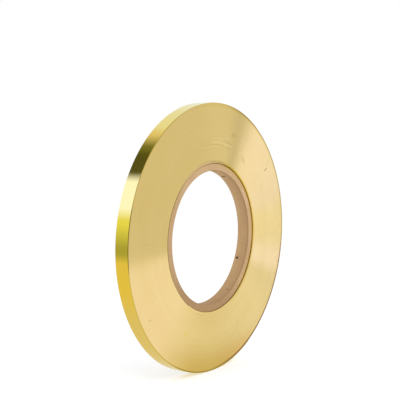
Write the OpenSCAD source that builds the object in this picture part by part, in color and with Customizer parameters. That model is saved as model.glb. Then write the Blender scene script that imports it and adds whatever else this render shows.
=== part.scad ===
// Roll of narrow brass strip: one long strip wound turn on turn round a spiral paperboard core.
// The roll stands on its rim. Its bore runs along Y, and the face at -Y is its front.
// All sizes are millimetres.

/* [Strip] */
// Width of the strip, which is the width of the roll
strip_w = 16; // [8:0.5:40]
// Thickness of the strip
strip_t = 0.5; // [0.3:0.05:1]
// Turns wound on the core
turns = 135; // [20:1:200]
// How far the middle of the strip's rounded edge stands out past its corners
edge_crown = 0.08; // [0.02:0.01:0.14]

/* [Core] */
// Diameter of the core's bore
core_bore_d = 150; // [70:1:200]
// Wall of the core
core_wall = 8; // [3:0.5:15]
// How far the core's front lies behind the strip's front edge, with its back level with the strip's back edge
core_recess = 1; // [0:0.25:3]
// Corner worn off the core's cut edges
core_edge_break = 0.6; // [0.2:0.1:1.4]

/* [Hidden] */
round_fn = 180;
core_bore_r = core_bore_d / 2;
coil_bore_r = core_bore_r + core_wall;
coil_r = coil_bore_r + turns * strip_t;
front = strip_w / 2;

// The groove between two turns, at radius r, and the crest of the turn that begins there.
// side is 1 on the front end and -1 on the back end.
function groove(r, side) = [r, side * (front - edge_crown)];
function crest(r, side) = [r + strip_t / 2, side * front];

// The edges of all turns on one end of the roll, inside to outside.
function end_outline(side) = concat(
    [for (n = [0:turns - 1]) let (r = coil_bore_r + n * strip_t) each [groove(r, side), crest(r, side)]],
    [groove(coil_r, side)]
);

function reversed(points) = [for (i = [len(points) - 1:-1:0]) points[i]];

// Turns a section, drawn as radius and height, about the roll's Y axis, with its top towards the front.
module turned() {
    rotate([90, 0, 0])
        rotate_extrude($fn = round_fn) children();
}

module core() {
    top = front - core_recess;
    bottom = -front;
    color("burlywood")
        turned()
            polygon([
                [core_bore_r + core_edge_break, top],
                [coil_bore_r - core_edge_break, top],
                [coil_bore_r, top - core_edge_break],
                [coil_bore_r, bottom + core_edge_break],
                [coil_bore_r - core_edge_break, bottom],
                [core_bore_r + core_edge_break, bottom],
                [core_bore_r, bottom + core_edge_break],
                [core_bore_r, top - core_edge_break]
            ]);
}

module strip_coil() {
    color("goldenrod")
        turned()
            polygon(concat(end_outline(1), reversed(end_outline(-1))));
}

core();
strip_coil();
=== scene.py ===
import math

import bpy
import numpy as np
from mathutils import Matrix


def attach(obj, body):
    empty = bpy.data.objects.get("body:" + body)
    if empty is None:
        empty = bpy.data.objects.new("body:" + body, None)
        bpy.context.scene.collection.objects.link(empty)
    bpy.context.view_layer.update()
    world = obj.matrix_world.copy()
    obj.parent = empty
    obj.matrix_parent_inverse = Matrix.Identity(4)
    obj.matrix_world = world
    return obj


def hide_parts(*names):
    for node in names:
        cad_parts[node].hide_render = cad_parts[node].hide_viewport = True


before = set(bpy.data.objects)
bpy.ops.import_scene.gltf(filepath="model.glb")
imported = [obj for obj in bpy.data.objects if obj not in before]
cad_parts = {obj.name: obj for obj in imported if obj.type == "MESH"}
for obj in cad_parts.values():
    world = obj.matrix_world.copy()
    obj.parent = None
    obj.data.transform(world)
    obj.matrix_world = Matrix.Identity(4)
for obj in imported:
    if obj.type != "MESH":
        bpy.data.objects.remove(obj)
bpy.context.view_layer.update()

# Roll of brass strip on a spiral paperboard core, standing on its rim.
# Everything is in metres. The bore runs along Y and the front end looks along -Y.
# Angles on the roll are degrees clockwise from the top, as seen from the front.

mm = 0.001
tiny = 1e-9                # lengths that differ by less than this many metres are the same
rollRadius = 150.5 * mm
halfWidth = 8.0 * mm       # half the width of the strip: the roll's ends lie this far from its middle
coreRadius = 83.0 * mm     # the outside of the core, on which the first turn lies

photoCamera = {
    "place": (-0.96001, -0.66933, 0.15697),
    "azimuth": 54.73,     # degrees from +Y towards +X
    "pitchDown": 5.617,
    "lensMm": 94.91,
    "sensorMm": 36.0,
    "clip": (0.01, 60.0),
}


def makeCamera(c):
    data = bpy.data.cameras.new("photoCamera")
    data.lens = c["lensMm"]
    data.sensor_width = c["sensorMm"]
    data.clip_start, data.clip_end = c["clip"]
    camera = bpy.data.objects.new("photoCamera", data)
    camera.location = c["place"]
    camera.rotation_euler = (math.radians(90.0 - c["pitchDown"]), 0.0, -math.radians(c["azimuth"]))
    bpy.context.scene.collection.objects.link(camera)
    bpy.context.scene.camera = camera


makeCamera(photoCamera)
print("camera placed")


# Node helpers. addNode makes a node and sets its properties; an input takes a value or a link from a socket.

def addNode(tree, kind, inputs=None, **settings):
    node = tree.nodes.new("ShaderNode" + kind)
    for key, value in settings.items():
        setattr(node, key, value)
    for key, value in (inputs or {}).items():
        if hasattr(value, "is_output"):
            tree.links.new(value, node.inputs[key])
        else:
            node.inputs[key].default_value = value
    return node


def calc(tree, operation, a, b=0.0, c=0.0):
    # one Math node; a, b and c are numbers or sockets
    return addNode(tree, "Math", {0: a, 1: b, 2: c}, operation=operation).outputs[0]


def product(tree, first, *others):
    # first times each of the others
    for other in others:
        first = calc(tree, "MULTIPLY", first, other)
    return first


def vectorCalc(tree, operation, *vectors):
    # one Vector Math node: a number for a length, a vector otherwise
    outputs = addNode(tree, "VectorMath", dict(enumerate(vectors)), operation=operation).outputs
    return outputs["Value" if operation == "LENGTH" else "Vector"]


def axesOf(tree, vector):
    # X, Y and Z of a vector
    return addNode(tree, "SeparateXYZ", {0: vector}).outputs


def aboutTheBore(tree, place):
    # radius sqrt(x^2 + z^2), angle atan2(x, z) in radians, and y
    axes = axesOf(tree, place)
    squares = calc(tree, "ADD", product(tree, axes["X"], axes["X"]), product(tree, axes["Z"], axes["Z"]))
    return calc(tree, "SQRT", squares), calc(tree, "ARCTAN2", axes["X"], axes["Z"]), axes["Y"]


def fadeOver(tree, value, low, high, toLow=0.0, toHigh=1.0, smooth=True):
    # toLow at low, toHigh at high and no further; between them a soft step, or a straight line if not smooth
    kind = "SMOOTHSTEP" if smooth else "LINEAR"
    return addNode(tree, "MapRange", {"Value": value, "From Min": low, "From Max": high, "To Min": toLow,
                                      "To Max": toHigh}, interpolation_type=kind).outputs["Result"]


def blend(tree, amount, a, b):
    # a + amount (b - a), of two colours: the inputs 6 and 7 of a Mix node, with its output 2
    node = addNode(tree, "Mix", data_type="RGBA")
    for index, value in ((0, amount), (6, a), (7, b)):
        if hasattr(value, "is_output"):
            tree.links.new(value, node.inputs[index])
        elif index == 0:
            node.inputs[0].default_value = value
        else:
            node.inputs[index].default_value = (*value, 1.0)
    return node.outputs[2]


def tinted(tree, colour, tint, mask, strength):
    # colour, blended towards tint by mask times strength
    return blend(tree, calc(tree, "MULTIPLY", mask, strength), colour, tint)


def colourSteps(tree, amount, stops, scale=1.0):
    # a colour ramp from (position, (r, g, b)) pairs; every colour is divided by scale
    node = addNode(tree, "ValToRGB", {"Fac": amount})
    ramp = node.color_ramp
    while len(ramp.elements) < len(stops):
        ramp.elements.new(0.5)
    for element, (position, colour) in zip(ramp.elements, stops):
        element.position = position
        element.color = (*(part / scale for part in colour), 1.0)
    return node.outputs["Color"]


def noiseAt(tree, vector, scale, detail, roughness, dimensions="3D"):
    # a cloudy pattern from 0 to 1; in one dimension it runs along a number
    inputs = {"Scale": scale, "Detail": detail, "Roughness": roughness}
    inputs["W" if dimensions == "1D" else "Vector"] = vector
    return addNode(tree, "TexNoise", inputs, noise_dimensions=dimensions).outputs["Fac"]


def stripMap(tree):
    # u across and v along the strip, or round the section and round the core
    return addNode(tree, "UVMap", uv_map="strip").outputs["UV"]


def alongTheStrip(tree):
    # the direction that the grain of the metal follows
    return addNode(tree, "Tangent", direction_type="UV_MAP", uv_map="strip").outputs["Tangent"]


def stretched(tree, vector, scale, turn=0.0):
    # turned by so many radians about the third axis, then scaled
    return addNode(tree, "Mapping", {"Vector": vector, "Rotation": (0.0, 0.0, turn),
                                     "Scale": scale}).outputs["Vector"]


def toneOf(tree, fine, coarse):
    # the two patterns together: 0.6 fine + 0.4 coarse
    return calc(tree, "ADD", calc(tree, "MULTIPLY", fine, 0.6), calc(tree, "MULTIPLY", coarse, 0.4))


def newMaterial(name, roughness, metallic=0.0):
    # a Principled material; what feed links in later takes the place of these plain values
    material = bpy.data.materials.new(name)
    material.use_nodes = True
    tree = material.node_tree
    shader = tree.nodes["Principled BSDF"]
    shader.inputs["Metallic"].default_value = metallic
    shader.inputs["Roughness"].default_value = roughness
    return material, tree, shader


def feed(tree, shader, **sockets):
    # links patterns to the shader's own inputs
    names = {"colour": "Base Color", "roughness": "Roughness", "normal": "Normal", "tangent": "Tangent"}
    for key, socket in sockets.items():
        tree.links.new(socket, shader.inputs[names[key]])


# The studio. One soft lamp and a plain world light everything evenly. What the bright metal mirrors is a ring
# of soft boxes and dark cards about the roll's axis, given by angle, and nothing else sees it.
studio = {
    "plainLight": 0.80,
    "towardsCamera": (-0.8130, -0.5668, 0.1329),    # unit vector from the roll to the photograph's camera
    "mirrorPeak": 3.2,                              # the brightest light that a card may have
    # the kinds of light in the room
    "lights": {
        "plain": (1.00, 1.00, 1.00),
        "cool": (1.00, 1.00, 1.25),
        "daylight": (0.95, 1.05, 1.10),
        "warm": (1.00, 0.95, 0.70),
        "yellow": (1.00, 0.90, 0.30),     # the brass's own light, thrown back by the table
        "olive": (1.00, 1.10, 0.35),      # the same in the shade
        "window": (1.00, 1.20, 2.10),
    },
    # the cards, one fading into the next: from and to in degrees clockwise from the top about the bore, the
    # kind of light and its level. First those that the rim mirrors, by where they stand
    "rimCards": [
        (10, 12, "warm", 0.85),           # the ceiling
        (20, 90, "daylight", 0.95),       # daylight on the right
        (115, 195, "warm", 0.80),         # the warmer side of the room
        (225, 250, "yellow", 0.85),       # the table
        (258, 264, "olive", 0.45),        # a dark strip along its edge
        (284, 287, "olive", 0.90),        # the table beyond it
        (297, 321, "window", 1.15),
        (329, 347, "olive", 0.10),        # a black card beside the window
        (354, 356, "olive", 0.20),        # its soft edge
    ],
    # then those that the wound ends mirror, by the angle on the end where they show
    "endCards": [
        (8, 14, "plain", 0.80),           # the dim room above
        (20, 22, "plain", 0.65),          # a dark line before the soft box
        (30, 65, "cool", 1.05),           # the soft box on the right
        (75, 95, "plain", 1.05),          # its plainer middle
        (105, 114, "cool", 1.15),         # its brightest part
        (122, 140, "plain", 0.95),        # the room beyond it
        (176, 192, "plain", 0.85),        # the table in front
        (216, 258, "cool", 1.00),         # the light on the left
        (264, 350, "plain", 0.75),        # the dim room again
    ],
    # the Y of the mirroring normal up to which the ends' cards count alone, and from which the rim's do
    "crossover": (-0.75, -0.45),
}


def makeWorld(s):
    world = bpy.data.worlds.new("studio")
    bpy.context.scene.world = world
    world.use_nodes = True
    world.cycles.sampling_method = "NONE"
    tree = world.node_tree
    tree.nodes.clear()
    direction = addNode(tree, "TexCoord").outputs["Generated"]
    # the normal that would mirror this direction into the camera
    half = vectorCalc(tree, "NORMALIZE", vectorCalc(tree, "ADD", direction, s["towardsCamera"]))

    def angleAbout(vector):
        # clockwise angle of a direction about the bore, 0 to 1: the fraction of atan2(x, z) / 2 pi + 1
        axes = axesOf(tree, vector)
        turn = calc(tree, "ARCTAN2", axes["X"], axes["Z"])
        return calc(tree, "FRACT", calc(tree, "MULTIPLY_ADD", turn, 0.5 / math.pi, 1.0))

    def rampOf(cards):
        # two stops for each card, and one at each end of the ramp, where the last card fades into the first
        stops = [(angle / 360.0, tuple(level * part for part in s["lights"][light]))
                 for start, stop, light, level in cards for angle in (start, stop)]
        (last, dim), (first, lit) = stops[-1], stops[0]
        share = (1.0 - last) / (1.0 - last + first)
        top = tuple(a + share * (b - a) for a, b in zip(dim, lit))
        return [(0.0, top)] + stops + [(1.0, top)]

    rim = colourSteps(tree, angleAbout(direction), rampOf(s["rimCards"]), s["mirrorPeak"])
    ends = colourSteps(tree, angleAbout(half), rampOf(s["endCards"]), s["mirrorPeak"])
    onRim = fadeOver(tree, axesOf(tree, half)["Y"], *s["crossover"])
    light = blend(tree, onRim, ends, rim)
    white = (1.0, 1.0, 1.0, 1.0)
    mirrored = addNode(tree, "Background", {"Color": light, "Strength": s["mirrorPeak"]})
    plain = addNode(tree, "Background", {"Color": white, "Strength": s["plainLight"]})
    backdrop = addNode(tree, "Background", {"Color": white, "Strength": 1.0})
    path = addNode(tree, "LightPath").outputs
    lit = addNode(tree, "MixShader", {0: path["Is Glossy Ray"], 1: plain.outputs[0], 2: mirrored.outputs[0]})
    seen = calc(tree, "MAXIMUM", path["Is Camera Ray"], path["Is Transmission Ray"])
    shown = addNode(tree, "MixShader", {0: seen, 1: lit.outputs[0], 2: backdrop.outputs[0]})
    output = addNode(tree, "OutputWorld", {"Surface": shown.outputs[0]})
    output.is_active_output = True


softKey = {
    "place": (-1.25, -1.75, 1.70),
    "size": 1.6,
    "watts": 16.0,
}


def makeKey(k):
    data = bpy.data.lights.new("softKey", "AREA")
    data.shape = "DISK"
    data.size = k["size"]
    data.energy = k["watts"]
    lamp = bpy.data.objects.new("softKey", data)
    lamp.location = x, y, z = k["place"]
    # it looks at the origin
    lamp.rotation_euler = (math.atan2(math.hypot(x, y), z), 0.0, math.atan2(x, -y))
    lamp.visible_glossy = False
    lamp.visible_camera = False
    bpy.context.scene.collection.objects.link(lamp)


floorSpec = {
    "level": -rollRadius,
    "radius": 3.0,
    "rings": (0.05, 0.1, 0.2, 0.4, 0.7, 1.0),    # shares of the radius
    "columns": 96,
    "colour": (0.94, 0.94, 0.94),
    "roughness": 0.9,
    "whiteFrom": 0.25,     # the floor turns into the white background between these distances
    "whiteBy": 0.90,
    "cameraLift": 0.32,    # the camera alone sees the floor lifted by this, a little cooler than the brass
    "liftColour": (0.92, 1.00, 1.14),
    "farGlow": 0.86,       # the far floor's light on the roll; the camera sees it white
}


def makeFloor(f):
    # rings of points round a many-sided middle: x = r sin(a), y = r cos(a), z = level
    n = f["columns"]
    angle = np.linspace(0.0, 2.0 * np.pi, n, endpoint=False)
    radius = f["radius"] * np.array(f["rings"])[:, None]
    rings = np.broadcast_arrays(radius * np.sin(angle), radius * np.cos(angle), f["level"])
    i, j = np.meshgrid(np.arange(len(radius) - 1), np.arange(n), indexing="ij")
    k = (j + 1) % n
    quads = np.stack([(i + 1) * n + j, (i + 1) * n + k, i * n + k, i * n + j], axis=-1).reshape(-1, 4)
    middle = list(range(n - 1, -1, -1))
    mesh = bpy.data.meshes.new("floor")
    mesh.from_pydata(np.stack(rings, axis=-1).reshape(-1, 3).tolist(), [], quads.tolist() + [middle])
    mesh.update()
    floor = bpy.data.objects.new("floor", mesh)
    bpy.context.scene.collection.objects.link(floor)
    floor.visible_glossy = False

    material, tree, shader = newMaterial("paleFloor", f["roughness"])
    shader.inputs["Base Color"].default_value = (*f["colour"], 1.0)
    shader.inputs["Specular IOR Level"].default_value = 0.0
    place = addNode(tree, "TexCoord").outputs["Object"]
    away = vectorCalc(tree, "LENGTH", place)
    camera = addNode(tree, "LightPath").outputs["Is Camera Ray"]
    lift = addNode(tree, "Emission", {"Color": (*f["liftColour"], 1.0),
                                      "Strength": calc(tree, "MULTIPLY", camera, f["cameraLift"])})
    near = addNode(tree, "AddShader", {0: shader.outputs[0], 1: lift.outputs[0]})
    glow = fadeOver(tree, camera, 0.0, 1.0, f["farGlow"], 1.0, False)
    far = addNode(tree, "Emission", {"Strength": glow})
    both = addNode(tree, "MixShader", {0: fadeOver(tree, away, f["whiteFrom"], f["whiteBy"]),
                                       1: near.outputs[0], 2: far.outputs[0]})
    tree.links.new(both.outputs[0], tree.nodes["Material Output"].inputs["Surface"])
    mesh.materials.append(material)


makeWorld(studio)
makeKey(softKey)
makeFloor(floorSpec)
print("studio and floor made")


# Mesh helpers.

def smoothNoise(count, span, rng):
    # white noise along a loop, blurred by a Gaussian of that span in samples, scaled to a spread of one
    spectrum = np.fft.rfft(rng.standard_normal(count))
    field = np.fft.irfft(spectrum * np.exp(-2.0 * np.pi ** 2 * (np.fft.rfftfreq(count) * span) ** 2), n=count)
    return (field - field.mean()) / field.std()


def onRoll(angle, radius, y):
    # x = radius sin(angle), z = radius cos(angle)
    angle, radius, y = np.broadcast_arrays(angle, radius, y)
    return np.stack([radius * np.sin(angle), y, radius * np.cos(angle)], axis=-1)


def signedVolume(points, quads):
    # a . (b x c) / 6 summed over both triangles of every quad: positive when the faces look outwards
    a, b, c, d = (points[quads[:, i]] for i in range(4))
    return (np.einsum("ij,ij->i", a, np.cross(b, c)) + np.einsum("ij,ij->i", a, np.cross(c, d))).sum() / 6.0


def leaning(angle, side, degrees):
    # unit normals that lean from the end's own direction towards the rim by so many degrees:
    # (sin(lean) sin(angle), side cos(lean), sin(lean) cos(angle))
    lean = np.radians(degrees)
    angle, lean = np.broadcast_arrays(angle, lean)
    out, along = np.sin(lean), side * np.cos(lean)
    return np.stack([out * np.sin(angle), along, out * np.cos(angle)], axis=-1)


def mapOf(us, vs):
    # the strip map of many quads, (m, 4, 2), from the u and the v of their four corners
    corners = np.broadcast_arrays(*us, *vs)
    return np.stack([np.stack(corners[:4], axis=-1), np.stack(corners[4:], axis=-1)], axis=-1)


def putTogether(name, points, quads, uvs, slots, caps, materials, node, normals=None):
    # points (n, 3), quads (m, 4), uvs (m, 4, 2), one material index per quad, a few many-sided caps, and
    # a normal for every corner of every quad (m, 4, 3) where the shading is to be softer than the shape
    if signedVolume(points, quads) < 0.0:
        quads, uvs = quads[:, ::-1], uvs[:, ::-1]
        normals = None if normals is None else normals[:, ::-1]
        caps = [cap[::-1] for cap in caps]
    mesh = bpy.data.meshes.new(name)
    mesh.from_pydata(points.tolist(), [], quads.tolist() + [[int(i) for i in cap] for cap in caps])
    layer = mesh.uv_layers.new(name="strip")
    flat = np.zeros((len(mesh.loops), 2), np.float32)
    flat[:4 * len(quads)] = uvs.reshape(-1, 2)
    layer.data.foreach_set("uv", flat.ravel())
    index = np.zeros(len(mesh.polygons), np.int32)
    index[:len(quads)] = slots
    mesh.polygons.foreach_set("material_index", index)
    smooth = np.ones(len(mesh.polygons), bool)
    smooth[len(quads):] = False
    mesh.polygons.foreach_set("use_smooth", smooth)
    for material in materials:
        mesh.materials.append(material)
    mesh.update()
    if normals is not None:
        flatEnds = [np.tile(mesh.polygons[len(quads) + k].normal[:], (len(cap), 1))
                    for k, cap in enumerate(caps)]
        mesh.normals_split_custom_set(np.concatenate([normals.reshape(-1, 3)] + flatEnds).tolist())
    piece = bpy.data.objects.new(name, mesh)
    bpy.context.scene.collection.objects.link(piece)
    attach(piece, "root")
    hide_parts(node)
    print(name, "has", len(points), "points and", len(quads) + len(caps), "faces")
    return piece


# Brass. Both finishes are the same metal: satin on the slit edges, bright on the rolled face.

slitEdge = {
    "dull": (0.855, 0.635, 0.220),
    "usual": (0.880, 0.660, 0.240),
    "bright": (0.905, 0.690, 0.265),
    "toneSteps": (0.32, 0.50, 0.68),    # where the pattern is dull, usual and bright
    "roughness": (0.13, 0.18),
    "roughnessSteps": (0.3, 0.7),       # where the streaks are roughest and smoothest
    "anisotropy": 0.85,
    "streaks": (1.6, 5.0, 0.6),         # scale per turn, detail and roughness of the streaks
    "clouds": (26.0, 3.0, 0.5),         # and of the clouds, by the metre
    "frontFade": 1.0 * mm,     # the arcs fade out over this much either side of the roll's middle
    "arcCore": 0.6,            # share of an arc's width and length in which it is full
    "markDepth": 1.0 * mm,
    # painted shade and tints: radius where each starts and where it is full, colour, strength, and the sector
    # that it fills, by its middle, half width and softness in degrees
    "shadeAndTints": [
        # yellower towards the rim on the right, and by the core
        (143.0, 149.0, (0.800, 0.600, 0.130), 0.45, 70.0, 60.0, 30.0),
        (86.8, 84.0, (0.740, 0.540, 0.070), 0.85, 80.0, 60.0, 25.0),
        # painted shade: the lower side darker, as the shaded floor would show in the metal
        (108.0, 150.0, (0.680, 0.450, 0.075), 0.85, 184.0, 8.0, 36.0),
        (128.0, 149.0, (0.780, 0.420, 0.065), 0.38, 160.0, 5.0, 16.0),
        # painted shade and a painted reflection of the brass, on the first turn's inside in the gap by the
        # core
        (83.3, 83.1, (0.520, 0.310, 0.008), 1.00, 165.0, 125.0, 25.0),
    ],
    # small marks on the front end: middle x and z, half length, half width, turn in degrees, colour, strength
    "marks": [
        (110.4, 69.9, 5.0, 0.90, -33.0, (0.34, 0.20, 0.03), 0.85),
        (114.6, 69.0, 2.4, 1.10, -33.0, (0.97, 0.80, 0.44), 0.70),
        (116.0, 78.7, 2.6, 2.20, 0.0, (0.66, 0.47, 0.17), 0.35),
        (42.0, 112.6, 7.0, 2.60, 15.0, (0.71, 0.50, 0.18), 0.55),
        (61.0, 84.4, 8.0, 4.00, 55.0, (0.72, 0.50, 0.13), 0.50),
        (30.5, 104.0, 4.6, 0.90, 45.0, (0.70, 0.50, 0.18), 0.80),
        (19.6, 111.3, 11.0, 1.80, 22.8, (0.84, 0.64, 0.20), 0.40),
        (-114.4, -73.8, 3.8, 1.50, 10.0, (0.56, 0.41, 0.18), 0.40),
        (-107.0, -53.0, 5.0, 0.70, -40.0, (0.60, 0.46, 0.20), 0.40),
        (-51.2, -100.1, 7.0, 5.0, 20.0, (0.86, 0.64, 0.13), 0.38),
        (-43.8, -74.4, 3.5, 2.4, 30.0, (0.86, 0.64, 0.12), 0.45),
        (50.6, -107.0, 7.5, 0.70, -50.0, (0.62, 0.46, 0.18), 0.40),
        (-119.0, 6.0, 2.2, 1.2, 0.0, (0.60, 0.46, 0.20), 0.40),
    ],
    # arcs on the front end: painted highlights (pale) and painted shade (dark) where a few turns stand a
    # little proud or
    # low, a smear, and painted lines of shade: radius, half width, from and to in degrees, colour, strength
    "arcs": [
        (102.2, 0.50, -14.0, 8.0, (1.00, 0.82, 0.42), 0.45),
        (106.3, 0.90, -4.0, 24.0, (0.98, 0.79, 0.36), 0.60),
        (111.2, 0.55, -3.0, 12.0, (0.98, 0.82, 0.44), 0.45),
        (103.7, 0.55, -10.0, 15.0, (0.66, 0.48, 0.18), 0.50),
        (108.6, 0.55, 9.0, 22.0, (0.60, 0.43, 0.16), 0.50),
        (112.6, 0.50, 10.0, 19.0, (0.98, 0.82, 0.44), 0.45),
        (102.6, 0.50, 13.0, 21.0, (0.60, 0.43, 0.16), 0.45),
        (134.0, 0.50, 262.0, 283.0, (0.98, 0.82, 0.46), 0.25),
        (86.8, 0.55, 190.0, 206.0, (0.58, 0.43, 0.17), 0.50),
        (90.5, 0.40, 188.0, 204.0, (0.66, 0.49, 0.20), 0.35),
        # a pale brown smear of paper dust and glue over the first turns
        (84.0, 2.30, -52.0, 22.0, (0.830, 0.600, 0.275), 0.90),
        # painted shade and reflection: the dark and golden lines in the gap by the core, dark lines just
        # inside the rim
        (83.8, 0.80, 2.0, 150.0, (0.720, 0.480, 0.004), 0.85),
        (83.8, 0.80, 96.0, 162.0, (0.440, 0.280, 0.002), 0.60),
        (84.6, 0.45, -6.0, 20.0, (0.340, 0.230, 0.040), 0.80),
        (86.4, 1.10, -24.0, 18.0, (0.760, 0.550, 0.170), 0.55),
        (83.5, 0.80, 230.0, 330.0, (0.240, 0.155, 0.010), 0.90),
        (149.1, 1.00, 2.0, 138.0, (0.440, 0.300, 0.020), 0.95),
        (148.8, 1.60, 88.0, 184.0, (0.320, 0.150, 0.000), 1.00),
        (149.7, 1.10, 152.0, 216.0, (0.400, 0.260, 0.000), 0.85),
        (149.8, 0.80, 190.0, 356.0, (0.520, 0.370, 0.010), 0.75),
        (149.6, 0.80, 260.0, 291.0, (0.200, 0.140, 0.003), 0.90),
    ],
}

rolledFace = {
    "usual": (0.88, 0.66, 0.19),
    "bright": (0.90, 0.69, 0.22),
    "toneSteps": (0.35, 0.65),          # where the lines are usual and bright
    "roughness": (0.06, 0.11),
    "roughnessSteps": (0.3, 0.7),       # where they are smoothest and roughest
    "anisotropy": 0.6,
    "lines": (1.0, 4.0, 0.6),           # scale, detail and roughness of the rolling lines
    "lineStretch": (6.0, 9.0, 1.0),
}


def spot(tree, place, middle, size, turn, softFrom=0.45):
    # 1 in the core of an ellipsoid with that middle and those half sizes, turned about Y, and 0 outside it;
    # the length of (place - middle), turned back and divided by size, runs from softFrom to 1 in between
    near = addNode(tree, "Mapping", {"Vector": place, "Location": middle, "Rotation": (0.0, turn, 0.0),
                                     "Scale": size}, vector_type="TEXTURE").outputs["Vector"]
    return fadeOver(tree, vectorCalc(tree, "LENGTH", near), softFrom, 1.0, 1.0, 0.0)


def sector(tree, angle, middle, reach, soft):
    # 1 within reach degrees of the middle one, 0 from soft degrees further on; angle is a socket in radians
    swing = calc(tree, "WRAP", calc(tree, "SUBTRACT", angle, math.radians(middle)), math.pi, -math.pi)
    full, none = math.radians(reach), math.radians(reach + soft)
    return fadeOver(tree, calc(tree, "ABSOLUTE", swing), full, none, 1.0, 0.0)


def makeSlitEdge(s):
    material, tree, shader = newMaterial("slitEdgeBrass", roughness=0.2, metallic=1.0)
    shader.inputs["Anisotropic"].default_value = s["anisotropy"]
    place = addNode(tree, "TexCoord").outputs["Object"]
    streak = noiseAt(tree, axesOf(tree, stripMap(tree))["Y"], *s["streaks"], "1D")
    cloud = noiseAt(tree, place, *s["clouds"])
    tones = zip(s["toneSteps"], (s["dull"], s["usual"], s["bright"]))
    colour = colourSteps(tree, toneOf(tree, streak, cloud), list(tones))
    radius, angle, y = aboutTheBore(tree, place)
    front = fadeOver(tree, y, -s["frontFade"], s["frontFade"], 1.0, 0.0)
    # the painted shade and the tints, each in its band and sector
    for start, full, tint, strength, middle, reach, soft in s["shadeAndTints"]:
        across = fadeOver(tree, radius, start * mm, full * mm)
        mask = product(tree, sector(tree, angle, middle, reach, soft), across)
        colour = tinted(tree, colour, tint, mask, strength)
    core = s["arcCore"]
    # painted highlights and shade along the arcs, the smear, and the painted lines of shade
    for ring, half, start, stop, tint, strength in s["arcs"]:
        reach = 0.5 * (stop - start)
        along = sector(tree, angle, 0.5 * (start + stop), core * reach, (1.0 - core) * reach)
        off = calc(tree, "ABSOLUTE", calc(tree, "SUBTRACT", radius, ring * mm))
        across = fadeOver(tree, off, core * half * mm, half * mm, 1.0, 0.0)
        colour = tinted(tree, colour, tint, product(tree, along, front, across), strength)
    for x, z, long, wide, turn, tint, strength in s["marks"]:
        size = (long * mm, s["markDepth"], wide * mm)
        mask = spot(tree, place, (x * mm, -halfWidth, z * mm), size, math.radians(turn))
        colour = tinted(tree, colour, tint, mask, strength)
    smoothest, roughest = s["roughness"]
    roughness = fadeOver(tree, streak, *s["roughnessSteps"], roughest, smoothest)
    feed(tree, shader, colour=colour, roughness=roughness, tangent=alongTheStrip(tree))
    return material


def makeRolledFace(r):
    material, tree, shader = newMaterial("rolledBrass", roughness=0.1, metallic=1.0)
    shader.inputs["Anisotropic"].default_value = r["anisotropy"]
    lines = noiseAt(tree, stretched(tree, stripMap(tree), r["lineStretch"]), *r["lines"])
    colour = blend(tree, fadeOver(tree, lines, *r["toneSteps"]), r["usual"], r["bright"])
    roughness = fadeOver(tree, lines, *r["roughnessSteps"], *r["roughness"])
    feed(tree, shader, colour=colour, roughness=roughness, tangent=alongTheStrip(tree))
    return material


slitBrass = makeSlitEdge(slitEdge)
rolledBrass = makeRolledFace(rolledFace)

# The wound strip. With w turns counted from the inner end, a point at the part a of the strip's thickness
# lies at the angle innerEnd - 2 pi w and the radius innerRadius + pitch (w + a).
winding = {
    "innerRadius": coreRadius,
    "outerRadius": rollRadius,
    "turns": 135 + 64 / 360,
    "outerPieceFrom": 67,     # the body of the coil is two pieces that meet at this turn
    "innerEnd": 214.0,        # the outer end then lies at 150 degrees, low on the side that is hidden
    "columns": 180,           # per turn
    "cornerWidth": 0.20,      # part of the thickness that each rounded corner takes
    "cornerDepth": 0.02 * mm,
    "cutLean": 10.0,          # degrees that the cut edge leans outwards, in the shading only
    "cutCrown": 1.5,          # degrees that it rounds to each side of that
    # the roll's end is dished a little near one angle, which turns the shading by so much per metre of radius
    "dishAt": 25.0,
    "dishReach": 25.0,
    "dishTurn": 95.0,
    "dishRadius": 102.0 * mm,
    "wander": 0.012 * mm,     # how unevenly the edges line up, always inwards
    "tilt": 0.0018 * mm,      # how much further in one or the other side of an edge lies
    "unevenMean": 1.2,        # wander and tilt vary about this multiple of themselves
    "unevenMost": 4.0,        # and stay below this one
    "unevenSpan": 0.30,       # turns over which they change
    "seed": 7,
}


def stripEdges(w):
    # how far the strip's edge lies inside the roll's end, along the whole winding: for each end, how far the
    # whole edge lies in, and how much further its inner and its outer side do;
    # size times (unevenMean + noise), kept between 0 and unevenMost times size
    rng = np.random.default_rng(w["seed"])
    count = round((w["turns"] + 1) * w["columns"]) + 1
    fields = [smoothNoise(count, w["unevenSpan"] * w["columns"], rng) for _ in range(6)]

    def uneven(size, field):
        return np.clip(size * (w["unevenMean"] + field), 0.0, w["unevenMost"] * size)

    inward = [uneven(w["wander"], field) for field in fields[:2]]
    tilts = [uneven(w["tilt"], field) for field in fields[2:]]
    return [(inward[side], tilts[2 * side], tilts[2 * side + 1]) for side in (0, 1)]


def dished(w, angle, radius):
    # the angle that the shading takes:
    # angle + dishTurn (radius - dishRadius) exp(-((angle - dishAt) / dishReach)^2)
    off = (np.degrees(angle) - w["dishAt"] + 180.0) % 360.0 - 180.0
    turned = w["dishTurn"] * (radius - w["dishRadius"]) * np.exp(-(off / w["dishReach"]) ** 2)
    return angle + np.radians(turned)


def pitchOf(w):
    # (outerRadius - innerRadius) / (turns + 1), so that the outside of the last turn ends at outerRadius
    return (w["outerRadius"] - w["innerRadius"]) / (w["turns"] + 1)


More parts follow.
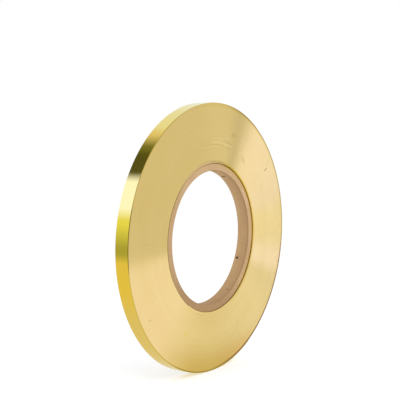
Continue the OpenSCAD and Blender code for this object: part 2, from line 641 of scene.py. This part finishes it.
def windStrip(w, edges, fromTurn, toTurn, name, materials):
    # both ends of the coil from one turn to another: with t turns and the part a of the pitch,
    # angle = innerEnd - 2 pi t, radius = innerRadius + pitch (t + a), y = -+ (halfWidth - depth(t, a)).
    # Each turn has three rows, at its inner corner and on either side of its land. Its outer corner is the
    # next turn's inner one, so there is one turn more of that row
    columns = w["columns"]
    pitch = pitchOf(w)
    n = round((toTurn - fromTurn) * columns)
    step = np.arange(n + columns + 1)                   # columns along the winding, and one turn more
    turn = fromTurn + step / columns
    angle = math.radians(w["innerEnd"]) - 2.0 * np.pi * turn
    first = round(fromTurn * columns)
    across = np.array([0.0, w["cornerWidth"], 1.0 - w["cornerWidth"]])

    def index(i, j, side):
        # point number of column i, row j; row 3 is row 0 one turn further out
        i = np.where(j == 3, i + columns, i)
        j = np.where(j == 3, 0, j)
        perEnd = 3 * (n + 1) + columns
        return side * perEnd + np.where(i <= n, 3 * i + j, 3 * (n + 1) + i - n - 1)

    points, normals = [], []
    land = pitch * (across[2] - across[1])
    for side, sign in ((0, -1.0), (1, 1.0)):
        inward, tiltIn, tiltOut = (field[first:first + n + columns + 1] for field in edges[side])
        depth = np.stack([inward + w["cornerDepth"], inward + tiltIn, inward + tiltOut], axis=-1)
        slope = np.degrees(np.arctan2(tiltOut - tiltIn, land))
        lean = w["cutLean"] + slope[:, None] + w["cutCrown"] * np.array([0.0, -1.0, 1.0])
        lean[:, 0] = w["cutLean"]
        radius = w["innerRadius"] + pitch * (turn[:, None] + across)
        leant = leaning(dished(w, angle[:, None], radius), sign, lean)
        normals += [leant[:n + 1].reshape(-1, 3), leant[n + 1:, 0]]
        ring = onRoll(angle[:, None], radius, sign * (halfWidth - depth))
        points += [ring[:n + 1].reshape(-1, 3), ring[n + 1:, 0]]
    points = np.concatenate(points)
    pointNormals = np.concatenate(normals)

    i, j = (grid.ravel() for grid in np.meshgrid(np.arange(n), np.arange(3), indexing="ij"))
    u = np.append(across, 1.0) * pitch / mm
    columnStep = 1.0 / columns
    quads, uvs, normals = [], [], []
    for side in (0, 1):
        quad = np.stack([index(i, j, side), index(i + 1, j, side), index(i + 1, j + 1, side),
                         index(i, j + 1, side)], axis=-1)
        quad = quad if side else quad[:, ::-1]
        normals.append(pointNormals[quad])
        v = turn[i]
        uv = mapOf((u[j], u[j], u[j + 1], u[j + 1]), (v, v + columnStep, v + columnStep, v))
        quads.append(quad)
        uvs.append(uv if side else uv[:, ::-1])
    # the walls inside and outside, between the two ends
    for start in (0, n):
        k = np.arange(start, start + columns)
        zero = np.zeros(columns, int)
        quad = np.stack([index(k, zero, 0), index(k, zero, 1), index(k + 1, zero, 1),
                         index(k + 1, zero, 0)], axis=-1)
        width = 2.0 * halfWidth / mm
        v = turn[k]
        uv = mapOf((0.0, width, width, 0.0), (v, v, v + columnStep, v + columnStep))
        radial = leaning(angle[np.stack([k, k, k + 1, k + 1], -1)], 1.0, 90.0 if start else -90.0)
        quads.append(quad if start else quad[:, ::-1])
        uvs.append(uv if start else uv[:, ::-1])
        normals.append(radial if start else radial[:, ::-1])
    # the strip's own section closes the winding where it starts and stops
    section = np.arange(4)
    caps = []
    for i0 in (0, n):
        near = index(np.full(4, i0), section, 0)
        far = index(np.full(4, i0), section, 1)
        cap = np.concatenate([near, far[::-1]])
        caps.append(cap if i0 else cap[::-1])
    quads, uvs, normals = np.concatenate(quads), np.concatenate(uvs), np.concatenate(normals)
    return putTogether(name, points, quads, uvs, np.zeros(len(quads), int), caps, materials,
                       "strip_coil", normals)


edges = stripEdges(winding)
windStrip(winding, edges, 0, winding["outerPieceFrom"], "inner_turns", [slitBrass])
windStrip(winding, edges, winding["outerPieceFrom"], winding["turns"] - 1, "outer_turns", [slitBrass])

# The last turn is a strip of its own section, bright on its rolled face, with its cut end showing.
lastTurn = {
    "columns": 540,
    "corner": 0.05 * mm,
    "cornerMiddle": 0.29,    # the middle of the rounded corner lies in by this part of its size
    "supportRow": 0.35 * mm,
    "rimRows": 9,
    "ripple": 0.02 * mm,     # slow unevenness of the rolled face, always inwards
    "rippleMean": 1.5,       # it varies about this multiple of itself, between none and twice that
    "rippleSpan": 14.0,      # columns over which it changes
    "seed": 19,
}


def windLastTurn(w, t, edges, materials):
    # a profile (a, y) carried along the winding: angle = innerEnd - 2 pi t,
    # radius = innerRadius + pitch (t + a) - ripple(t), y as in the profile plus the turn's unevenness
    pitch = pitchOf(w)
    n = t["columns"]
    turn = w["turns"] - 1 + np.arange(n + 1) / n
    angle = math.radians(w["innerEnd"]) - 2.0 * np.pi * turn
    half, corner, width = halfWidth, t["corner"], w["cornerWidth"]
    inset = t["cornerMiddle"]
    # the section from front groove to back groove: part of the thickness, y, and how far the normal leans
    part = corner / pitch
    edge = [(0.0, half - w["cornerDepth"], w["cutLean"]),
            (width, half, w["cutLean"] - w["cutCrown"]),
            (1.0 - part, half, w["cutLean"] + w["cutCrown"]),
            (1.0 - inset * part, half - inset * corner, 45.0),
            (1.0, half - corner, 90.0)]
    rimEnd = half - corner - t["supportRow"]
    profile = [(a, -y, lean) for a, y, lean in edge]
    profile += [(1.0, y, 90.0) for y in np.linspace(-rimEnd, rimEnd, t["rimRows"])]
    profile += [(a, y, lean) for a, y, lean in edge[::-1]]
    a, y, lean = np.array(profile).T
    m = len(a)
    side = np.where(np.arange(m) < m // 2, -1.0, 1.0)
    # the two edges follow the unevenness of the turns inside
    at = np.arange(len(edges[0][0]))
    inFront, behind = (np.interp(turn * w["columns"], at, edges[k][0]) for k in (0, 1))
    uneven = np.where(side < 0, inFront[:, None], -behind[:, None]) * (np.abs(y) > rimEnd + tiny)
    wave = smoothNoise(n, t["rippleSpan"], np.random.default_rng(t["seed"]))
    mean = t["rippleMean"]
    wave = t["ripple"] * np.clip(mean + np.append(wave, wave[0]), 0.0, 2.0 * mean)
    radius = w["innerRadius"] + pitch * (turn[:, None] + a) - (a > 1.0 - part - tiny) * wave[:, None]
    points = onRoll(angle[:, None], radius, y + uneven).reshape(-1, 3)
    # the ripple turns the rim's normals a little about the bore
    swing = np.gradient(wave) / (2.0 * np.pi * w["outerRadius"] / n)
    facing = np.where(lean == 90.0, angle[:, None] + swing[:, None], dished(w, angle[:, None], radius))
    normals = leaning(facing, side, lean).reshape(-1, 3)
    inside = leaning(angle, 1.0, -90.0)
    i, j = (grid.ravel() for grid in np.meshgrid(np.arange(n), np.arange(m), indexing="ij"))
    k = (j + 1) % m
    quads = np.stack([i * m + j, (i + 1) * m + j, (i + 1) * m + k, i * m + k], axis=-1)
    cornerNormals = np.where((j == m - 1)[:, None, None], inside[np.stack([i, i + 1, i + 1, i], -1)],
                             normals[quads])
    # u runs across the strip: up its thickness on the edges, along Y on the rolled face
    steps = np.append(np.hypot(np.diff(a) * pitch, np.diff(y)), 2.0 * half)
    u = np.append(0.0, np.cumsum(steps)) / mm
    v = turn[i]
    uvs = mapOf((u[j], u[j], u[j + 1], u[j + 1]), (v, v + 1.0 / n, v + 1.0 / n, v))
    # the rolled face begins in the middle of each outer corner; the inside wall is rolled too
    rolled = (j >= len(edge) - 2) & (j <= m - len(edge)) | (j == m - 1)
    caps = [np.arange(m), n * m + np.arange(m)[::-1]]
    return putTogether("outer_turn", points, quads, uvs, rolled.astype(int), caps, materials,
                       "strip_coil", cornerNormals)


windLastTurn(winding, lastTurn, edges, [slitBrass, rolledBrass])
print("strip wound")

# The core: kraft paper wound in a spiral and cut square.
paper = {
    "roughness": 0.78,
    "specular": 0.25,
    "bump": (0.35, 0.1 * mm),               # strength and height of the fibres
    "fibres": (1.0, 5.0, 0.7),              # scale, detail and roughness of the fibres
    "fibreStretch": (2.6, 0.5, 1.0),
    "fibreTurn": 0.3,
    "clouds": (38.0, 3.0, 0.55),            # and of the clouds, by the metre
    # the bore
    "wall": (0.575, 0.365, 0.188),
    "wallPale": (0.680, 0.450, 0.245),
    "wallDark": (0.465, 0.285, 0.140),
    "wallSteps": (0.36, 0.50, 0.64),        # where the pattern is dark, usual and pale
    "wallOlive": (0.550, 0.385, 0.175),
    "oliveClouds": (60.0, 2.0, 0.4),        # scale, detail and roughness of the olive patches
    "oliveSteps": (0.45, 0.62),             # where the olive begins and is full
    "oliveMost": 0.5,
    "wallFront": (0.440, 0.262, 0.128),     # it gets darker towards its front edge
    "wallFrontMost": 0.55,
    "wallFrontAt": (-6.0 * mm, 7.0 * mm),
    "edgeDark": (0.330, 0.205, 0.095),      # and once more just behind that edge
    "edgeDarkAt": (-6.8 * mm, -6.4 * mm, -4.8 * mm),
    "seam": (0.270, 0.160, 0.075),
    "seamReach": 2.2,                       # in the strip map's millimetres
    "fleck": (0.085, 0.042, 0.016),
    "fleckDepth": 0.6 * mm,
    # dark flecks: angle, depth y, half length along the bore and half width in mm, strength
    "flecks": [
        (28.6, 2.2, 3.0, 2.20, 0.95),
        (115.2, 4.4, 2.6, 2.00, 0.95),
        (116.6, 1.4, 1.6, 0.70, 0.35),
        (71.0, -4.4, 0.5, 0.9, 0.40),
        (149.3, -1.6, 3.0, 1.20, 0.55),
        (168.0, -3.0, 4.0, 1.00, 0.20),
    ],
    # the cut ends
    "cut": (0.720, 0.490, 0.270),
    "cutDark": (0.590, 0.382, 0.200),
    "cutSteps": (0.38, 0.60),               # where the pattern is dark and usual
    "cutPale": (0.820, 0.570, 0.345),
    "cutBrown": (0.520, 0.325, 0.155),
    "glue": (0.430, 0.260, 0.125),
    "glueFrom": 0.55,                       # the cosine from which a glue line shows
    "byTheBrass": (0.640, 0.400, 0.080),    # the outermost edge, lit by the brass beside it
    "byTheBrassAt": (79.3 * mm, 82.5 * mm),
    "byTheBrassMost": 0.7,
    # the colour towards which the lower side darkens: painted shade on the cut ends
    "darkBelow": (0.400, 0.240, 0.110),
    # middle, half width and softness, in degrees, of the stretches with a colour of their own
    "sectors": {
        "cutPale": (60.0, 4.0, 10.0),
        "cutBrown": (278.0, 20.0, 30.0),
        "byTheBrass": (75.0, 50.0, 30.0),
        # painted shade: the lower part of the cut end darker
        "cutShadeBelow": (194.0, 29.0, 38.0),
        "wallPale": (46.0, 18.0, 20.0),
        # the bore's wall darker towards its bottom
        "wallDarkBelow": (192.0, 25.0, 55.0),
    },
    # and how strongly each of them, and the lines, cover what lies below
    "strengths": {
        "glue": 0.55, "cutPale": 0.5, "cutBrown": 0.42, "cutShadeBelow": 0.75,
        "wallPale": 0.5, "wallDarkBelow": 0.45, "seam": 0.8, "edgeDark": 0.8,
    },
}

core = {
    "boreRadius": 75.0 * mm,
    "outerRadius": coreRadius,
    "front": -7.0 * mm,           # 1 mm behind the strip's front edge
    "back": halfWidth,
    "cornerRadius": 0.6 * mm,
    "backBoreCorner": 0.25 * mm,
    "outOfSquare": 0.65 * mm,     # how far forward the front comes at the angle frontMost
    "frontMost": 240.0,
    "plies": 12,
    "rowsPerPly": 4,
    "plyGroove": 0.05 * mm,
    "columns": 360,
    "boreRows": 46,
    "seamAngle": 179.0,       # where the inner ply's seam crosses the middle of the bore
    "seamSlope": 4.6,         # degrees round for each millimetre along
    "seamWidth": 0.45 * mm,
    "seamDepth": 0.16 * mm,
    "fuzz": 0.02 * mm,
    "wallFuzz": 0.4,          # share of the fuzz that the bore has
    "cornerRows": 6,
    "outsideRows": 4,
    "seed": 31,
}


def makePaper(p, c, cut):
    # u of the strip map runs round the section from the front of the bore, v runs round the core, both in mm
    material, tree, shader = newMaterial("cutBoard" if cut else "kraftPaper", p["roughness"])
    shader.inputs["Specular IOR Level"].default_value = p["specular"]
    place = addNode(tree, "TexCoord").outputs["Object"]
    strip = stripMap(tree)
    fibres = noiseAt(tree, stretched(tree, strip, p["fibreStretch"], p["fibreTurn"]), *p["fibres"])
    tone = toneOf(tree, fibres, noiseAt(tree, place, *p["clouds"]))
    radius, angle, y = aboutTheBore(tree, place)
    strengths = p["strengths"]

    def inSector(name):
        return sector(tree, angle, *p["sectors"][name])

    if cut:
        colour = blend(tree, fadeOver(tree, tone, *p["cutSteps"]), p["cutDark"], p["cut"])
        # a glue line wherever cos(2 pi plies (radius - boreRadius) / wall) comes near 1
        plies = calc(tree, "MULTIPLY", calc(tree, "SUBTRACT", radius, c["boreRadius"]),
                     2.0 * math.pi * c["plies"] / (c["outerRadius"] - c["boreRadius"]))
        glueLine = fadeOver(tree, calc(tree, "COSINE", plies), p["glueFrom"], 1.0)
        colour = tinted(tree, colour, p["glue"], glueLine, strengths["glue"])
        colour = tinted(tree, colour, p["cutPale"], inSector("cutPale"), strengths["cutPale"])
        colour = tinted(tree, colour, p["cutBrown"], inSector("cutBrown"), strengths["cutBrown"])
        outermost = fadeOver(tree, radius, *p["byTheBrassAt"], 0.0, p["byTheBrassMost"])
        colour = blend(tree, product(tree, outermost, inSector("byTheBrass")), colour, p["byTheBrass"])
        # painted shade: the cut end darker towards the bottom
        colour = tinted(tree, colour, p["darkBelow"], inSector("cutShadeBelow"), strengths["cutShadeBelow"])
    else:
        tones = zip(p["wallSteps"], (p["wallDark"], p["wall"], p["wallPale"]))
        colour = colourSteps(tree, tone, list(tones))
        olive = noiseAt(tree, place, *p["oliveClouds"])
        patches = fadeOver(tree, olive, *p["oliveSteps"], 0.0, p["oliveMost"])
        colour = blend(tree, patches, colour, p["wallOlive"])
        colour = tinted(tree, colour, p["wallPale"], inSector("wallPale"), strengths["wallPale"])
        forward = fadeOver(tree, y, *p["wallFrontAt"], p["wallFrontMost"], 0.0)
        colour = blend(tree, forward, colour, p["wallFront"])
        # the butt seam of the inner ply, in the same place as its groove: v = seamAngle + seamSlope y
        perDegree = math.radians(c["boreRadius"]) / mm
        seam = calc(tree, "MULTIPLY_ADD", y, c["seamSlope"] * perDegree / mm, c["seamAngle"] * perDegree)
        across = calc(tree, "ABSOLUTE", calc(tree, "SUBTRACT", axesOf(tree, strip)["Y"], seam))
        line = fadeOver(tree, across, 0.0, p["seamReach"], 1.0, 0.0)
        colour = tinted(tree, colour, p["seam"], line, strengths["seam"])
        # the bore's wall darker towards the bottom
        colour = tinted(tree, colour, p["darkBelow"], inSector("wallDarkBelow"), strengths["wallDarkBelow"])
        front, full, back = p["edgeDarkAt"]
        edge = product(tree, fadeOver(tree, y, full, back, 1.0, 0.0), fadeOver(tree, y, front, full))
        colour = tinted(tree, colour, p["edgeDark"], edge, strengths["edgeDark"])
        for degrees, depth, long, wide, strength in p["flecks"]:
            a = math.radians(degrees)
            middle = (c["boreRadius"] * math.sin(a), depth * mm, c["boreRadius"] * math.cos(a))
            mask = spot(tree, place, middle, (p["fleckDepth"], long * mm, wide * mm), a - 0.5 * math.pi)
            colour = tinted(tree, colour, p["fleck"], mask, strength)
    strength, height = p["bump"]
    bump = addNode(tree, "Bump", {"Strength": strength, "Distance": height, "Height": fibres})
    feed(tree, shader, colour=colour, normal=bump.outputs["Normal"])
    return material


def coreProfile(c):
    # round the section, as radius and y: bore wall, back end, outside, front end, with straight lines
    # a (1 - t) + b t between corners (r + size cos(angle), y + size sin(angle))
    r0, r1, y0, y1, cr = c["boreRadius"], c["outerRadius"], c["front"], c["back"], c["cornerRadius"]
    br = c["backBoreCorner"]
    quarter = np.radians(np.linspace(0.0, 90.0, c["cornerRows"]))

    def corner(r, y, start, size=cr):
        angle = np.radians(start) + quarter
        return np.stack([r + size * np.cos(angle), y + size * np.sin(angle)], axis=-1)

    def line(a, b, count):
        t = np.linspace(0.0, 1.0, count + 2)[1:-1, None]
        return np.asarray(a) * (1 - t) + np.asarray(b) * t

    plyRows = c["rowsPerPly"] * c["plies"] - 1
    return np.concatenate([
        corner(r0 + cr, y0 + cr, 180.0)[::-1],
        line((r0, y0 + cr), (r0, y1 - br), c["boreRows"]),
        corner(r0 + br, y1 - br, 90.0, br)[::-1],
        line((r0 + br, y1), (r1 - cr, y1), plyRows),
        corner(r1 - cr, y1 - cr, 0.0)[::-1],
        line((r1, y1 - cr), (r1, y0 + cr), c["outsideRows"]),
        corner(r1 - cr, y0 + cr, 270.0)[::-1],
        line((r1 - cr, y0), (r0 + cr, y0), plyRows),
    ])


def makeCore(c, materials):
    # the profile turned about Y: (radius sin(angle), y, radius cos(angle)); the bore's radius grows by the
    # seam's groove and the fuzz, and the ends lie lower by the plies' grooves and the fuzz
    profile = coreProfile(c)
    m, n = len(profile), c["columns"]
    angle = 2.0 * np.pi * np.arange(n) / n
    r, y = profile[:, 0], profile[:, 1]
    rng = np.random.default_rng(c["seed"])
    wall = np.abs(r - c["boreRadius"]) < tiny
    ends = (np.abs(y - c["front"]) < tiny) | (np.abs(y - c["back"]) < tiny)
    # the seam of the inner ply: a shallow groove whose middle lies at seamAngle + seamSlope y
    middle = np.radians(c["seamAngle"] + c["seamSlope"] * y[None, :] / mm)
    away = (angle[:, None] - middle + np.pi) % (2.0 * np.pi) - np.pi
    groove = c["seamDepth"] * np.exp(-(away * c["boreRadius"] / c["seamWidth"]) ** 2) * wall
    # the plies on the cut ends: the glue lines lie a little lower
    ply = (r - c["boreRadius"]) / (c["outerRadius"] - c["boreRadius"]) * c["plies"]
    lines = 0.5 + 0.5 * np.cos(2.0 * np.pi * ply)
    fuzz = np.abs(rng.standard_normal((n, m))) * c["fuzz"]
    low = (c["plyGroove"] * lines[None, :] + fuzz) * ends
    radius = r[None, :] + groove + fuzz * c["wallFuzz"] * wall
    # the front end is cut a little out of square: forward by outOfSquare (1 + cos(angle - frontMost)) / 2
    forward = 0.5 * c["outOfSquare"] * (1.0 + np.cos(angle - math.radians(c["frontMost"])))
    depth = y[None, :] - np.sign(y[None, :]) * low - forward[:, None] * np.clip(y / c["front"], 0.0, 1.0)
    points = onRoll(angle[:, None], radius, depth).reshape(-1, 3)
    i, j = (grid.ravel() for grid in np.meshgrid(np.arange(n), np.arange(m), indexing="ij"))
    nextI, nextJ = (i + 1) % n, (j + 1) % m
    quads = np.stack([i * m + j, nextI * m + j, nextI * m + nextJ, i * m + nextJ], axis=-1)
    u = np.append(0.0, np.cumsum(np.hypot(*(np.roll(profile, -1, axis=0) - profile).T))) / mm
    step = 2.0 * np.pi * c["boreRadius"] / n / mm
    v = i * step
    uvs = mapOf((u[j], u[j], u[j + 1], u[j + 1]), (v, v + step, v + step, v))
    cut = ends[j] & ends[nextJ]
    return putTogether("paperboard_core", points, quads, uvs, cut.astype(int), [], materials,
                       "core")


makeCore(core, [makePaper(paper, core, False), makePaper(paper, core, True)])
print("core made")

bpy.context.scene.view_settings.view_transform = "Standard"
